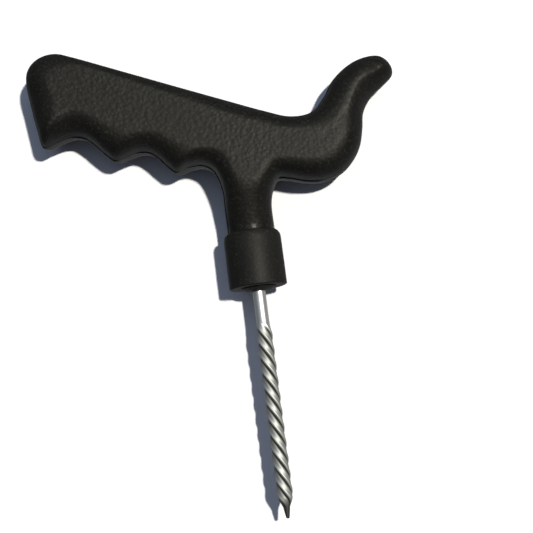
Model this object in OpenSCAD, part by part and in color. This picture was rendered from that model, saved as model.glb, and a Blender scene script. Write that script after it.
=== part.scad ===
// Pistol-grip tyre repair probe: a spiral rasp in a two-part moulded grip.
// It lies on its side as it is put down: shaft along Y with the point at -Y,
// finger bar towards -X, thumb horn towards +X, seam of the grip at z = 0.
// The origin is on the shaft axis at the mouth of the collar.

/* [Grip] */
// Thickness of the closed grip, face to face
grip_t = 25.6; // [22:0.2:30]
// Rounding of the grip's edges, measured inwards from the outline
edge_r = 7.6; // [5:0.2:9]
// Thickness of the moulded faces
face_wall = 3; // [2:0.2:4]
// Thickness of the moulded side walls
side_wall = 4; // [3:0.2:5]
// Thickness of the stiffening ribs inside
rib_t = 2; // [1.2:0.2:3]
// Diameter of the round neck
neck_d = 15.8; // [14:0.2:18]
// Length of the neck from the collar to the line of the finger ridges
neck_len = 17.2; // [14:0.2:24]
// How far the finger line's root lies to the butt side of the shaft axis
grip_side = 0.45; // [0:0.05:1]
// Slope of the line of finger ridges, in degrees
finger_slope = 18; // [12:0.5:22]
// Distance from the shaft axis to the first finger ridge
finger_first = 24; // [22:0.5:28]
// Spacing of the finger ridges
finger_pitch = 22; // [18:0.5:26]
// Depth of the deepest finger groove
groove_depth = 6; // [3:0.5:7]
// Depth of the bar above the neck
bar_depth = 28.8; // [26:0.2:34]
// Slope of the bar's top edge, in degrees
top_slope = 23; // [19:0.2:26]
// Height of the thumb horn above the valley beside it
horn_rise = 19; // [14:0.5:24]
// Reach of the thumb horn beyond the valley
horn_reach = 37.5; // [34:0.5:42]
// Height of the raised bead along the seam
bead_h = 0.4; // [0.1:0.05:0.5]
// Width of the raised bead along the seam
bead_w = 1.2; // [0.4:0.1:1.4]

/* [Collar] */
// Length of the collar
collar_len = 19.6; // [15:0.2:24]
// Diameter of the collar's straight band at its mouth
collar_d = 19.9; // [19:0.1:24]
// Length of the straight band
band_len = 9; // [6:0.5:11]
// Loss of diameter above the band
collar_taper = 0.1; // [0:0.1:1]
// Height of the rounded shoulder
shoulder_h = 3; // [2:0.2:4]
// Diameter of the split spigot inside the collar
spigot_d = 12.4; // [10:0.2:13]
// How far the spigot's cone stands out of the collar's mouth
spigot_out = 1.4; // [1:0.1:3]
// Diameter at the end of the spigot's cone
spigot_nose_d = 7.6; // [6.4:0.2:9]

/* [Probe] */
// Diameter of the plain shank
shank_d = 4.5; // [4:0.1:5.4]
// Length of plain shank below the collar
shank_len = 11.6; // [8:0.2:20]
// Diameter over the spiral ridges
spiral_d = 5.6; // [5.5:0.1:6.5]
// Depth of the spiral grooves
spiral_depth = 0.75; // [0.3:0.05:0.9]
// Number of spiral ridges
spiral_starts = 4; // [3:1:5]
// Advance of a ridge in one turn
spiral_lead = 21.3; // [16:0.1:30]
// Turn of the ridges about the shaft, in degrees
spiral_turn = -18; // [-45:1:45]
// Length of the full spiral
spiral_len = 61; // [40:1:80]
// Length of the point, shoulder and nib together
point_len = 7.4; // [5:0.2:12]
// Diameter of the nib where the shoulder ends
nib_d = 2.2; // [1.8:0.1:3]
// Diameter of the blunt tip
tip_d = 1.1; // [0.6:0.1:2]
// Diameter of the cross pin through the tang
pin_d = 3; // [2:0.1:3]
// Length of the cross pin
pin_len = 16; // [12:0.5:18]

/* [Screws] */
// Diameter of the plain part of the screw
screw_d = 3; // [2.6:0.1:3.4]
// Diameter of the threaded core
screw_core_d = 2.4; // [1.8:0.1:2.5]
// Length of the screw under its head
screw_len = 14; // [12:0.5:16]
// Diameter of the screw head
head_d = 5.4; // [4.8:0.1:6]
// Height of the screw head
head_h = 2; // [1.6:0.1:2.6]
// Depth of the head's seat behind the seam
seat_depth = 6; // [5:0.2:7]
// Diameter of the screw bosses
boss_d = 9; // [8.4:0.2:10]

/* [Fit] */
// Clearance of seated round pieces, on the radius
fit_gap = 0.05; // [0.02:0.01:0.15]

/* [Hidden] */
$fn = 96;

half_t = grip_t / 2;
neck_r = neck_d / 2;
step_y = collar_len;
pin_y = step_y + neck_len + bar_depth / 2;
tang_end = pin_y + 2.5 * pin_d;
spiral_y = -shank_len;
point_y = spiral_y - spiral_len;
cut = 1;

// Frame of the finger line: along it towards the butt, and inwards from it
line_root = [-grip_side, step_y + neck_len];
line_dir = [-cos(finger_slope), sin(finger_slope)];
line_in = [sin(finger_slope), cos(finger_slope)];
butt_overhang = 4;
ridge_2 = finger_first + finger_pitch;
ridge_3 = ridge_2 + finger_pitch + butt_overhang;
function on_line(s, w) = line_root + line_dir * s + line_in * w;

// Each groove is a round hollow that leans towards the butt, between round ridges
groove_n = 6;
groove_lean = 1.1;
groove_round = 1.4;
function groove(from, to, depth) =
    [for (i = [1 : groove_n - 1]) let (f = i / groove_n)
        on_line(mix(from, to, f), depth * pow(sin(180 * pow(f, groove_lean)), groove_round))];

// The bar's top edge, by its distance from the finger line's root
function on_top(x) = line_root + [x, bar_depth - x * tan(top_slope)];

// The butt rounds up from the last ridge to the top edge
butt_foot = on_line(ridge_3, 0);
butt_rise = on_top(butt_foot[0] + grip_side)[1] - butt_foot[1];
butt_shape = [[-0.045, 0.19], [-0.08, 0.44], [-0.105, 0.66], [-0.067, 0.79], [0.039, 0.88],
    [0.195, 0.905]];
butt_edge = [for (b = butt_shape) butt_foot + b * butt_rise];

// The horn curls up from a valley at the end of the top edge
valley = on_top(0.52 * horn_reach) + [0, 0.04 * horn_rise];
horn_shape = [
    [0.19, 0.05], [0.34, 0.33], [0.44, 0.62], [0.58, 0.85], [0.73, 0.98], [0.89, 0.99],
    [0.99, 0.83], [1, 0.62], [0.9, 0.44], [0.77, 0.24], [0.68, -0.03]
];
horn_edge = [for (h = horn_shape) valley + [h[0] * horn_reach, h[1] * horn_rise]];

// The lobe under the horn comes back to a notch beside the neck
lobe_shape = [
    [0.65, -0.22], [0.607, -0.427], [0.525, -0.6], [0.4, -0.743], [0.24, -0.805], [0.08, -0.79],
    [-0.08, -0.73]
];
lobe_edge = [for (b = lobe_shape) valley + [b[0] * horn_reach, b[1] * bar_depth]];
notch = [[1.52 * neck_r, step_y + 1.04 * neck_len], [1.18 * neck_r, step_y + 0.82 * neck_len]];

top_steps = 5;
top_first = butt_edge[5][0] + grip_side + 0.17 * butt_rise;
top_last = 0.3 * horn_reach;
top_edge = [for (i = [0 : top_steps]) on_top(top_first + (top_last - top_first) * i / top_steps)];

// The web beside the neck hollows in before the first ridge
web_shape = [[0.45, 0.4], [0.645, 0.67], [0.835, 0.43]];

// Whole outline at the seam, from the neck's left side round to its right side
outline = concat(
    [[-neck_r, step_y], [-neck_r, step_y + 0.5 * neck_len], [-neck_r - 0.1, line_root[1] - 1]],
    [for (w = web_shape) on_line(w[0] * finger_first, w[1] * groove_depth)], [on_line(finger_first, 0)],
    groove(finger_first, ridge_2, groove_depth * 0.85), [on_line(ridge_2, 0)],
    groove(ridge_2, ridge_3, groove_depth), [butt_foot],
    butt_edge, top_edge, [valley], horn_edge, lobe_edge, notch,
    [[neck_r, step_y + 0.5 * neck_len], [neck_r, step_y]]
);
last = len(outline) - 1;

// Smooth curve through a list of points, at the running number t
function curve(p, t) =
    let (i = min(floor(t), len(p) - 2), f = t - i,
         a = p[max(i - 1, 0)], b = p[i], c = p[i + 1], d = p[min(i + 2, len(p) - 1)])
    0.5 * (2 * b + (c - a) * f + (2 * a - 5 * b + 4 * c - d) * f * f
           + (3 * b - a - 3 * c + d) * f * f * f);

// Running numbers on the outline where the three limbs of the grip meet
t_left = 2.8;
t_butt = 20.2;
t_top = 29.9;
t_tip = 38.3;
t_right = last - 2.6;
bar_n = 42;
horn_n = 32;
neck_n = 16;

// Spines of the limbs as [x, y, height, squareness, rounding]
function mix(a, b, f) = a + (b - a) * f;
function reversed(v) = [for (i = [len(v) - 1 : -1 : 0]) v[i]];
crown = half_t + 0.3;
hub = [line_root[0] + 0.065 * horn_reach, line_root[1] + 0.52 * bar_depth, crown, 3, edge_r];
butt_round = 1.43;
butt_mid = [butt_foot[0] + 0.36 * butt_rise, butt_foot[1] + 0.45 * butt_rise, crown, 2.4,
    butt_round * edge_r];
bar_spine = [butt_mid, mix(butt_mid, hub, 0.4), mix(butt_mid, hub, 0.7), hub];

// The horn keeps a high narrow crest almost to its tip, and the lobe below it is rounder
lobe_round = 1.2;
function on_horn(reach, rise, height, square, rounding) =
    [valley[0] + reach * horn_reach, valley[1] + rise * horn_rise, height, square, rounding];
horn_spine = [
    hub,
    on_horn(0.03, -0.54, crown, 3, lobe_round * edge_r),
    on_horn(0.33, -0.42, half_t + 0.1, 2.6, lobe_round * edge_r),
    on_horn(0.456, -0.154, half_t - 0.2, 2.2, edge_r),
    on_horn(0.555, 0.186, half_t - 0.6, 2.1, edge_r),
    on_horn(0.638, 0.438, half_t - 1.1, 2, edge_r),
    on_horn(0.732, 0.566, half_t - 1.7, 2, edge_r),
    on_horn(0.85, 0.66, half_t - 3, 2, edge_r)
];

// The neck's crest is a ramp between the face and a short level foot, as shares of length and rise
neck_ramp = [[1.3, 1.05, 3], [1.01, 1.01, 2.8], [0.81, 0.9, 2.5], [0.6, 0.64, 2.25],
    [0.41, 0.38, 2.1], [0.23, 0.155, 2], [0.09, 0.01, 2], [0, 0, 2]];
neck_spine = concat([hub], [for (r = neck_ramp)
    [0.3 * hub[0] * r[1], step_y + r[0] * neck_len, mix(neck_r, half_t, r[1]), r[2],
     mix(neck_r, edge_r, r[1])]]);

// Stations along a limb hold still at a blunt end, then run along its spine
function spine_at(s, f, blunt) =
    curve(s, (len(s) - 1) * max(0, (f - blunt) / (1 - blunt)));
butt_blunt = 0.25;
horn_blunt = 1 / 8;

// Running numbers on the outline opposite the points of the horn's and the neck's spines
horn_feet_u = [t_top, 31.2, 32.1, 32.6, 33.3, 34.3, 35.45, 36.6, t_tip];
horn_feet_r = [t_tip, 39.6, 40.7, 41.1, 41.9, 43.1, 45.5, 48, t_right];
neck_feet_l = [0, 0.25, 0.52, 0.82, 1.23, 1.7, 2.12, 2.5, t_left];
neck_feet_r = [for (b = [2.6, 2.45, 2.25, 1.9, 1.35, 0.82, 0.52, 0.25, 0]) last - b];
feet_n = len(horn_feet_u) - 1;

// The edge is crisp in the finger grooves, and well rounded on the ridges, the butt and the top
finger_round = 1.06;
top_round = 1.3;
t_ridge = 6;
t_foot = t_ridge + 2 * groove_n;
function ease(f) = let (g = min(1, max(0, f))) g * g * (3 - 2 * g);
function on_ridge(t) = t < t_foot ? pow(cos(180 * (t - t_ridge) / groove_n), 4) : 1;
function finger_edge(t) = edge_r * (1 + (finger_round - 1) * ease((t - t_left) / 2)
    + (butt_round - finger_round) * on_ridge(t));
function with_edge(h, r) = [h[0], h[1], h[2], h[3], r];

// One rib per station: its foot on the outline and its head on a spine
neck_l = [for (i = [0 : neck_n - 1]) let (f = i / neck_n)
    [curve(outline, curve(neck_feet_l, feet_n * f)), spine_at(reversed(neck_spine), f, 0)]];
bar_l = [for (i = [0 : bar_n - 1]) let (f = i / bar_n, t = mix(t_left, t_butt, f))
    [curve(outline, t), with_edge(spine_at(bar_spine, 1 - f, butt_blunt), finger_edge(t))]];
bar_u = [for (i = [0 : bar_n - 1]) let (f = i / bar_n)
    [curve(outline, mix(t_butt, t_top, f)),
     with_edge(spine_at(bar_spine, f, butt_blunt), edge_r * mix(butt_round, top_round, f))]];
horn_u = [for (i = [0 : horn_n - 1])
    let (f = i / horn_n, h = spine_at(reversed(horn_spine), 1 - f, horn_blunt))
    [curve(outline, curve(horn_feet_u, feet_n * f)), with_edge(h, h[4] * mix(top_round, 1, ease(3 * f)))]];
horn_r = [for (i = [0 : horn_n - 1]) let (f = i / horn_n)
    [curve(outline, curve(horn_feet_r, feet_n * f)), spine_at(reversed(horn_spine), f, horn_blunt)]];
neck_r_side = [for (i = [0 : neck_n]) let (f = i / neck_n)
    [curve(outline, curve(neck_feet_r, feet_n * f)), spine_at(reversed(neck_spine), 1 - f, 0)]];
ribs = concat(neck_l, bar_l, bar_u, horn_u, horn_r, neck_r_side);

// Profile of a rib: the seam bead with its ledge, a steep wall, a rounded edge, a flat face
rise_n = 7;
ledge = 0.3;
function rib_point(rib, a) =
    let (foot = rib[0], head = [rib[1][0], rib[1][1]], span = norm(head - foot), q = rib[1][3],
         p = max(q, q * span / rib[1][4]),
         u = 1 - pow(cos(a), 2 / p))
    [each mix(foot, head, u), min(half_t, rib[1][2] * pow(sin(a), 2 / q))];
function rib_row(rib) =
    let (foot = rib[0], head = [rib[1][0], rib[1][1]], out = (foot - head) / norm(foot - head))
    concat(
        [[each (foot + out * bead_h), -skirt], [each (foot + out * bead_h), bead_w / 2],
         [each foot, bead_w / 2 + ledge * bead_h]],
        [for (k = [1 : rise_n - 1]) rib_point(rib, 90 * k / rise_n)],
        [[head[0], head[1], min(half_t, rib[1][2])]]
    );
row_n = rise_n + 3;
skirt = 4;

// Upper half of the grip as one closed skin, with a skirt that hangs below the seam
module half_skin() {
    rows = [for (r = ribs) rib_row(r)];
    n = len(rows);
    points = [for (r = rows) each r];
    skin = [for (i = [0 : n - 2], k = [0 : row_n - 2])
        let (a = i * row_n + k, b = a + row_n)
        each (k < row_n - 2 || points[a + 1] != points[b + 1]
            ? [[a, b, b + 1], [a, b + 1, a + 1]] : [[a, b, a + 1]])];
    floor_face = [for (i = [n - 1 : -1 : 0]) i * row_n];
    end_face = concat([for (k = [0 : row_n - 1]) k],
        [for (k = [row_n - 2 : -1 : 0]) (n - 1) * row_n + k]);
    polyhedron(points, concat(skin, [floor_face, end_face]), convexity = 8);
}

// Turns a shape made along Z so that it runs along the shaft, towards the grip
module along_y(y) {
    translate([0, y, 0]) rotate([-90, 0, 0]) rotate(90) children();
}

// Round spigot that the collar sits on, with a low cone at the collar's mouth
spigot_root = 2;
spigot_lip = 0.3;
module spigot() {
    top = step_y + spigot_root;
    along_y(0) rotate_extrude()
        polygon([[0, -spigot_out], [spigot_nose_d / 2, -spigot_out], [spigot_d / 2, -spigot_lip],
            [spigot_d / 2, top], [0, top]]);
}

// Everything under the seam plane
reach = 200;
module below_seam() {
    translate([-reach, -reach, -reach]) cube([2 * reach, 2 * reach, reach]);
}

// Hollows between the side walls, as outlines a wall's thickness inside the ribs' feet
function wall_point(rib) =
    let (head = [rib[1][0], rib[1][1]])
    rib[0] + (head - rib[0]) / norm(head - rib[0]) * side_wall;
bar_solid = round(0.28 * bar_n);
lobe_from = round(0.12 * horn_n);
lobe_to = round(0.36 * horn_n);
bar_hollow = concat(
    [for (i = [bar_solid : bar_n - 1]) wall_point(bar_l[i])],
    [for (i = [0 : bar_n - bar_solid]) wall_point(bar_u[i])]
);
lobe_hollow = concat(
    [for (i = [lobe_from : lobe_to]) wall_point(horn_u[i])],
    [for (i = [horn_n - lobe_to : horn_n - lobe_from]) wall_point(horn_r[i])]
);

// Screws stand on the spines: at the butt, in the middle of the bar and in the lobe
function flat(p) = [p[0], p[1]];
screw_places = [flat(butt_mid), flat(mix(butt_mid, hub, 0.54)), flat(horn_spine[1])];
rib_places = [0.27, 0.72];
bar_turn = atan2(hub[1] - butt_mid[1], hub[0] - butt_mid[0]);
hollow_h = half_t - face_wall;

module hollows() {
    difference() {
        translate([0, 0, -cut]) linear_extrude(hollow_h + cut) {
            polygon(bar_hollow);
            polygon(lobe_hollow);
        }
        for (p = screw_places)
            translate([p[0], p[1], -2 * cut]) cylinder(h = half_t + 2 * cut, d = boss_d);
        for (f = rib_places)
            translate([each flat(mix(butt_mid, hub, f)), 0]) rotate(bar_turn)
                translate([-rib_t / 2, -bar_depth, -2 * cut]) cube([rib_t, 2 * bar_depth, grip_t]);
    }
}

// Bed for the tang and its cross pin, shared by the two halves
pin_end_gap = 0.2;
module tang_bed() {
    along_y(-spigot_out - cut)
        cylinder(h = spigot_out + cut + tang_end + fit_gap, d = shank_d + 2 * fit_gap);
    translate([-pin_len / 2 - pin_end_gap, pin_y, 0]) rotate([0, 90, 0])
        cylinder(h = pin_len + 2 * pin_end_gap, d = pin_d + 2 * fit_gap);
}

// One hollow half of the grip, less the holes that are given to it
module half_body() {
    difference() {
        union() {
            half_skin();
            spigot();
        }
        below_seam();
        hollows();
        tang_bed();
        children();
    }
}

// Half of the grip that faces the viewer, with blind pilot holes in its bosses
pilot_h = screw_len - seat_depth + 1;
module front_half() {
    color("#2e2e2c") half_body() {
        for (p = screw_places)
            translate([p[0], p[1], -cut]) cylinder(h = pilot_h + cut, d = screw_core_d + 2 * fit_gap);
    }
}

// Half of the grip that lies on the bench, drilled and counterbored for the screws
hole_gap = 0.2;
head_gap = 0.3;
module back_half() {
    color("#2a2a29") mirror([0, 0, 1]) half_body() {
        for (p = screw_places) translate([p[0], p[1], -cut]) {
            cylinder(h = half_t + 2 * cut, d = screw_d + 2 * hole_gap);
            translate([0, 0, seat_depth + cut])
                cylinder(h = half_t + cut - seat_depth, d = head_d + 2 * head_gap);
        }
    }
}

// Ferrule that holds the two halves of the neck together
shoulder_steps = 8;
shoulder_r = neck_r + 0.4;
module collar() {
    top_r = collar_d / 2 - collar_taper / 2;
    bore_r = spigot_d / 2 + fit_gap;
    shoulder = [for (i = [0 : shoulder_steps]) let (a = 90 * i / shoulder_steps)
        [mix(shoulder_r, top_r, cos(a)), collar_len - shoulder_h * (1 - sin(a))]];
    color("#2e2e2c") along_y(0) rotate_extrude()
        polygon(concat([[bore_r, 0], [collar_d / 2, 0], [collar_d / 2, band_len]],
            shoulder, [[bore_r, collar_len]]));
}

// Spiral ridges as a stack of rings, from the run-out under the shank to the plain nib
ring_step = 1;
ring_sides = 36;
runout = 5;
ridge_round = 0.65;
root_sink = 0.6;
ring_n = ceil((spiral_len + point_len) / ring_step);
nib_y = spiral_len + 0.55 * point_len;
function to_nib(v) = ease((v - spiral_len) / (nib_y - spiral_len));
function crest_r(v) = v < spiral_len
    ? mix(shank_d / 2 - 0.1, spiral_d / 2, ease(v / runout))
    : mix(spiral_d, nib_d, to_nib(v)) / 2
      - (nib_d - tip_d) / 2 * max(0, (v - nib_y) / (spiral_len + point_len - nib_y));
function groove_d(v) = spiral_depth * ease(v / runout) * (1 - to_nib(v));
function wave(v, a) = abs(cos(spiral_starts * (a + spiral_turn - 360 * v / spiral_lead) / 2));
function ring_r(v, a) = crest_r(v) - groove_d(v) * (1 - pow(wave(v, a), ridge_round));
function ring(v, y) = [for (k = [0 : ring_sides - 1]) let (a = 360 * k / ring_sides, r = ring_r(v, a))
    [r * sin(a), y, r * cos(a)]];

module spiral() {
    rings = concat([ring(0, spiral_y + root_sink)],
        [for (i = [0 : ring_n]) let (v = (spiral_len + point_len) * i / ring_n) ring(v, spiral_y - v)]);
    n = len(rings);
    sides = [for (i = [0 : n - 2], k = [0 : ring_sides - 1])
        let (a = i * ring_sides + k, b = i * ring_sides + (k + 1) % ring_sides)
        each [[a, b, b + ring_sides], [a, b + ring_sides, a + ring_sides]]];
    top_cap = [for (k = [ring_sides - 1 : -1 : 0]) k];
    tip_cap = [for (k = [0 : ring_sides - 1]) (n - 1) * ring_sides + k];
    polyhedron([for (r = rings) each r], concat(sides, [top_cap, tip_cap]), convexity = 6);
}

// Steel probe in one piece: spiral rasp, plain shank and drilled tang
tang_chamfer = 0.6;
shank_foot = spiral_y - root_sink / 2;
module probe() {
    color("#c8cac8") difference() {
        union() {
            spiral();
            along_y(0) rotate_extrude()
                polygon([[0, shank_foot], [shank_d / 2, shank_foot], [shank_d / 2, tang_end - tang_chamfer],
                    [shank_d / 2 - tang_chamfer, tang_end], [0, tang_end]]);
        }
        translate([-shank_d, pin_y, 0]) rotate([0, 90, 0])
            cylinder(h = 2 * shank_d, d = pin_d + 2 * fit_gap);
    }
}

// Pin that stops the tang turning and pulling out
pin_chamfer = 0.4;
module cross_pin() {
    color("#9a9a98") translate([-pin_len / 2, pin_y, 0]) rotate([0, 90, 0]) rotate_extrude()
        polygon([[0, 0], [pin_d / 2 - pin_chamfer, 0], [pin_d / 2, pin_chamfer],
            [pin_d / 2, pin_len - pin_chamfer], [pin_d / 2 - pin_chamfer, pin_len], [0, pin_len]]);
}

// Screw driven from the back: domed head, plain part, threaded core
thread_from = 0.5;
slot_w = 0.8;
slot_l = 3;
slot_deep = 1;
module screw() {
    difference() {
        union() {
            translate([0, 0, -seat_depth - head_h]) cylinder(h = head_h, d1 = head_d - head_h, d2 = head_d);
            translate([0, 0, -seat_depth]) cylinder(h = seat_depth - thread_from, d = screw_d);
            translate([0, 0, -thread_from])
                cylinder(h = screw_len - seat_depth + thread_from, d = screw_core_d);
        }
        for (a = [0, 90]) rotate(a)
            translate([-slot_l / 2, -slot_w / 2, -seat_depth - head_h - cut])
                cube([slot_l, slot_w, slot_deep + cut]);
    }
}
module shell_screws() {
    color("#6f6f6d") for (p = screw_places) translate([p[0], p[1], 0]) screw();
}

front_half();
back_half();
collar();
probe();
cross_pin();
shell_screws();
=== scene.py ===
# %% [markdown]
# # A spiral tyre probe with a moulded pistol grip
# The tool lies on its side on a pale bench. A black grip moulded in two halves
# holds a bright steel rod whose lower part is a rope-like spiral rasp. Each
# step below explains one piece or one finish and then makes it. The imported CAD
# model is loaded first, because it fixes the place and size of every piece.

# %% Load the CAD frame
import math

import bmesh
import bpy
import numpy as np
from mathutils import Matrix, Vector


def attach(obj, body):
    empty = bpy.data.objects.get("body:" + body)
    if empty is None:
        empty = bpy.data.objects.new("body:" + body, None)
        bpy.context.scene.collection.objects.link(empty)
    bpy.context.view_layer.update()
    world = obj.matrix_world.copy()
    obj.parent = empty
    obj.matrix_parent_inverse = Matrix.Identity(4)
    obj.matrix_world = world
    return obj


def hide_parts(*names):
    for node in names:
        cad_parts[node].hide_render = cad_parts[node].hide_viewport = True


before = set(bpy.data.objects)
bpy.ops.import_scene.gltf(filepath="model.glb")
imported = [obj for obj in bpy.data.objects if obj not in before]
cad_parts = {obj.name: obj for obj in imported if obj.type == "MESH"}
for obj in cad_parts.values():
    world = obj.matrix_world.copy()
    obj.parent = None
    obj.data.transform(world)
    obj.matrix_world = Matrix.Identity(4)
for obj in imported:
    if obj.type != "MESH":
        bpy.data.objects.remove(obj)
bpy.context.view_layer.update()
scene = bpy.context.scene
scene.view_settings.view_transform = "Standard"
MM = 0.001
print("CAD nodes:", ", ".join(sorted(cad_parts)))

# %% [markdown]
# ## Camera
# The picture was taken from above and a little from the point's side. The view
# is given by the point it looks at, a turn about the vertical, a rise above the
# bench and a distance. Blender aims a camera along its own -Z axis, so a
# tracking rotation is enough and no constraint is left on the object.

# %% Camera
IMAGE_PX = 533
FOCAL_PX = 1285.7
SENSOR_MM = 36
CLIP_START = 0.01
AIM = Vector((3.71, 6.93, 0)) * MM
TURN = math.radians(7.3)
RISE = math.radians(82)
DISTANCE = 450 * MM

to_eye = Vector((
    -math.sin(TURN) * math.cos(RISE),
    -math.cos(TURN) * math.cos(RISE),
    math.sin(RISE),
))
camera_data = bpy.data.cameras.new("camera")
camera_data.sensor_width = SENSOR_MM
camera_data.lens = SENSOR_MM * FOCAL_PX / IMAGE_PX
camera_data.clip_start = CLIP_START
camera = bpy.data.objects.new("camera", camera_data)
camera.location = AIM + to_eye * DISTANCE
camera.rotation_euler = (-to_eye).to_track_quat("-Z", "Y").to_euler()
scene.collection.objects.link(camera)
scene.camera = camera
print("camera at", [round(c, 4) for c in camera.location])

# %% [markdown]
# ## Node trees
# The sky, the finishes and two of the pieces are node trees. A few small helpers
# add a node and wire it in one line, which keeps the trees readable. Each takes
# plain values or the sockets of earlier nodes, and most give back a socket.

# %% Helpers for node trees
# Socket numbers of a Mix node that is set to colours
COLOR_A, COLOR_B, COLOR_MIXED = 6, 7, 2


def add(tree, kind, inputs=None, **settings):
    """Add a node, set its properties, then set or wire its inputs."""
    node = tree.nodes.new(kind)
    for key, value in settings.items():
        setattr(node, key, value)
    for key, value in (inputs or {}).items():
        if isinstance(value, bpy.types.NodeSocket):
            tree.links.new(value, node.inputs[key])
        else:
            node.inputs[key].default_value = value
    return node


def maths(tree, operation, a, b=0.0, c=0.0):
    """One scalar sum in either kind of tree, by the order of its inputs."""
    return add(tree, "ShaderNodeMath", {0: a, 1: b, 2: c}, operation=operation).outputs[0]


def ramp(tree, value, start, stop, low=0.0, high=1.0, **settings):
    """A value carried from one range to another and held at its ends."""
    limits = {"From Min": start, "From Max": stop, "To Min": low, "To Max": high}
    return add(tree, "ShaderNodeMapRange", {"Value": value, **limits}, **settings).outputs[0]


def blend(tree, factor, first, second):
    """A colour that goes from the first to the second with the factor."""
    inputs = {"Factor": factor, COLOR_A: first, COLOR_B: second}
    return add(tree, "ShaderNodeMix", inputs, data_type="RGBA").outputs[COLOR_MIXED]


# %% [markdown]
# ## Bench and light
# A pale bench lies under a high sun. One sun lamp makes the short, soft-edged
# shadow, and a weak bluish sky fills it. The sky is stronger from the far side
# than from the side where the camera stands, and dim at the horizon. The bench
# is left out of reflections: gloss shows a ground in the sky instead, dim far
# out and brighter straight below and on the sunny side. To the camera the sky
# is plain and pale, which keeps a quiet backdrop in low views. A picture of a
# sky could light the scene too, but a few nodes do it and are easy to change.

# %% Bench and sun
GRIP_T = 25.6
BENCH_HALF = 1.5
BENCH_CORNERS = ((-1, -1), (1, -1), (1, 1), (-1, 1))
SUN_TRAVEL = Vector((-4.1, -1.1, -12.8))
SUN_STRENGTH = 3.6
SUN_COLOR = (1.0, 0.965, 0.88)
SUN_SPREAD = math.radians(2.5)

bench_mesh = bpy.data.meshes.new("bench")
bench_z = -GRIP_T / 2 * MM
bench_mesh.from_pydata(
    [(x * BENCH_HALF, y * BENCH_HALF, bench_z) for x, y in BENCH_CORNERS], [], [(0, 1, 2, 3)]
)
bench = bpy.data.objects.new("bench", bench_mesh)
scene.collection.objects.link(bench)
bench.visible_glossy = False

sun_data = bpy.data.lights.new("sun", "SUN")
sun_data.energy = SUN_STRENGTH
sun_data.color = SUN_COLOR
sun_data.angle = SUN_SPREAD
sun = bpy.data.objects.new("sun", sun_data)
sun.rotation_euler = SUN_TRAVEL.to_track_quat("-Z", "Y").to_euler()
scene.collection.objects.link(sun)
print("sun height", round(math.degrees(math.asin(-SUN_TRAVEL.normalized().z)), 1), "degrees")

# %% Sky
SKY_NEAR = (0.07, 0.074, 0.088, 1)
SKY_FAR = (0.5, 0.6, 0.82, 1)
SKY_FAR_WAY, SKY_FAR_FROM = (-0.3, 0.954, 0), -0.35
HORIZON_COLOR = (0.02, 0.021, 0.025, 1)
HORIZON_POWER, HORIZON_SOFT = 1.5, 0.08
GROUND_FAR = (0.1, 0.105, 0.115, 1)
GROUND_NEAR = (0.55, 0.56, 0.57, 1)
STEEP_FROM = -0.7
SUNNY_FROM, SUNNY_TO, SUNNY_SHARE = -0.7, 0.9, 0.4
BACKDROP = (0.94, 0.95, 0.96, 1)

world = bpy.data.worlds.new("sky")
world.use_nodes = True
scene.world = world
sky = world.node_tree
sky.nodes.clear()
way = add(sky, "ShaderNodeTexCoord").outputs["Generated"]
way_along = add(sky, "ShaderNodeSeparateXYZ", {0: way}).outputs
far_way = add(sky, "ShaderNodeVectorMath", {0: way, 1: SKY_FAR_WAY}, operation="DOT_PRODUCT")
far_side = ramp(sky, far_way.outputs["Value"], SKY_FAR_FROM, 1.0)
climb = add(sky, "ShaderNodeMath", {0: way_along["Z"], 1: HORIZON_POWER},
            operation="POWER", use_clamp=True).outputs[0]
dome_color = blend(sky, climb, HORIZON_COLOR, blend(sky, far_side, SKY_NEAR, SKY_FAR))
steep = ramp(sky, way_along["Z"], STEEP_FROM, -1.0)
sunny = ramp(sky, way_along["X"], SUNNY_FROM, SUNNY_TO, 0.0, SUNNY_SHARE)
ground_color = blend(sky, maths(sky, "MAXIMUM", steep, sunny), GROUND_FAR, GROUND_NEAR)
above = ramp(sky, way_along["Z"], -HORIZON_SOFT, HORIZON_SOFT)
lighting = add(sky, "ShaderNodeBackground", {"Color": blend(sky, above, ground_color, dome_color)})
backdrop = add(sky, "ShaderNodeBackground", {"Color": BACKDROP})
to_camera = add(sky, "ShaderNodeLightPath").outputs["Is Camera Ray"]
shown = add(sky, "ShaderNodeMixShader",
            {"Fac": to_camera, 1: lighting.outputs[0], 2: backdrop.outputs[0]})
add(sky, "ShaderNodeOutputWorld", {"Surface": shown.outputs[0]})
print("sky:", len(sky.nodes), "nodes")

# %% [markdown]
# ## Shared shader groups
# The mouldings need fine relief and flecks of dust, and the plastics and the
# bench need a slow drift of colour and gloss. Each effect is a node group with
# named inputs, built once, and every material sets its own values. Both read a
# place in the object's own coordinates, so no piece has to be unwrapped.

# %% Helpers for groups and materials
def new_group(name, inputs, outputs):
    """An empty shader group with named inputs and outputs, and its input sockets."""
    tree = bpy.data.node_groups.new(name, "ShaderNodeTree")
    for label, kind, value in inputs:
        socket = tree.interface.new_socket(label, in_out="INPUT", socket_type=kind)
        if value is not None:
            socket.default_value = value
    for label, kind in outputs:
        tree.interface.new_socket(label, in_out="OUTPUT", socket_type=kind)
    return tree, add(tree, "NodeGroupInput").outputs


def place_group(tree, group, inputs):
    """A shader group placed in a material; gives back its outputs."""
    return add(tree, "ShaderNodeGroup", inputs, node_tree=group).outputs


def new_material(name):
    """A material with its shader, and the object's own coordinates."""
    material = bpy.data.materials.new(name)
    material.use_nodes = True
    tree = material.node_tree
    tree.nodes.clear()
    shader = add(tree, "ShaderNodeBsdfPrincipled")
    add(tree, "ShaderNodeOutputMaterial", {"Surface": shader.outputs[0]})
    place = add(tree, "ShaderNodeTexCoord").outputs["Object"]
    return material, tree, shader, place


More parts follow.
